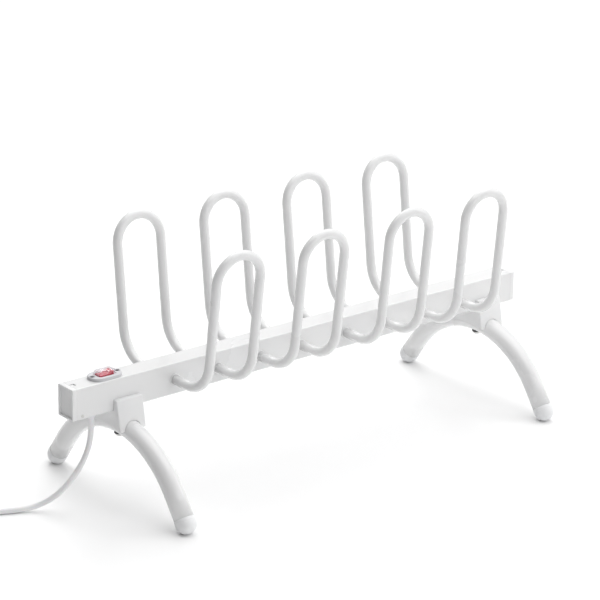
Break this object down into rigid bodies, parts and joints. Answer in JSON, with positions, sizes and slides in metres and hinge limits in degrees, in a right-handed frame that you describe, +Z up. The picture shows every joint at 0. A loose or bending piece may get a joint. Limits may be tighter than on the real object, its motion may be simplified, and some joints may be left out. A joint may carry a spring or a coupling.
{
  "type": "boot dryer",
  "caption": "Free-standing electric boot and glove dryer: a steel box rail on two arched legs with rows of heated tube hoops, a lit rocker switch and a mains lead.",
  "frame": {"origin": "on the floor, under the middle of the rail", "axes": "+X along the rail, away from the switch and the cord; +Z up; -Y is the front"},
  "size_m": [0.8992, 0.3852, 0.3224],
  "materials": {
    "white_paint": "gloss powder coat",
    "white_plastic": "satin moulded",
    "tinned_copper": "tinned",
    "silicone_red": "smooth silicone",
    "fuse_sleeve": "woven glass sleeve",
    "clear_nylon": "natural nylon",
    "zinc_steel": "zinc plated",
    "black_steel": "black oxide",
    "grey_plastic": "fine moulded texture",
    "black_plastic": "moulded",
    "brass": "stamped",
    "lamp_glass": "neon lamp",
    "red_translucent": "see-through, lit from below",
    "clear_pvc": "clear soft membrane",
    "core_pvc": "insulated core",
    "cord_pvc": "satin sheath",
    "tie_fabric": "hook and loop",
    "plug_nickel": "nickel plated"
  },
  "bodies": {
    "dryer": {"cable_crimps": "tinned_copper", "cord_end": "cord_pvc", "cord_gland": "cord_pvc", "cord_hank": "cord_pvc", "cord_lead": "cord_pvc", "cord_tail": "cord_pvc", "cord_tie": "tie_fabric", "earth_ring": "tinned_copper", "earth_screw": "zinc_steel", "end_cap_left": "white_plastic", "end_cap_right": "white_plastic", "foot_left_front": "white_plastic", "foot_left_rear": "white_plastic", "foot_right_front": "white_plastic", "foot_right_rear": "white_plastic", "front_heating_cable_1": "silicone_red", "front_heating_cable_2": "silicone_red", "front_heating_cable_3": "silicone_red", "front_heating_cable_4": "silicone_red", "front_hoop_1": "white_paint", "front_hoop_2": "white_paint", "front_hoop_3": "white_paint", "front_hoop_4": "white_paint", "leg_bolts": "black_steel", "leg_left": "white_paint", "leg_nuts": "zinc_steel", "leg_right": "white_paint", "leg_washers": "black_steel", "link_wires": "silicone_red", "plug_body": "cord_pvc", "plug_contacts": "plug_nickel", "plug_pins": "plug_nickel", "rail": "white_paint", "rear_heating_cable_1": "silicone_red", "rear_heating_cable_2": "silicone_red", "rear_heating_cable_3": "silicone_red", "rear_heating_cable_4": "silicone_red", "rear_hoop_1": "white_paint", "rear_hoop_2": "white_paint", "rear_hoop_3": "white_paint", "rear_hoop_4": "white_paint", "saddle_left": "white_plastic", "saddle_right": "white_plastic", "supply_cores": "core_pvc", "switch_bezel": "grey_plastic", "switch_cover": "clear_pvc", "switch_housing": "black_plastic", "switch_lamp": "lamp_glass", "switch_screws": "zinc_steel", "switch_terminals": "brass", "switch_wires": "core_pvc", "terminal_block": "clear_nylon", "terminal_screws": "zinc_steel", "thermal_fuse": "fuse_sleeve"},
    "rocker": {"switch_rocker": "red_translucent"}
  },
  "joints": [
    {"name": "rocker_hinge", "type": "hinge", "parent": "dryer", "child": "rocker", "pos_m": [-0.299, 0, 0.16341], "axis": [0, 1, 0], "range_deg": [0, 18]}
  ]
}
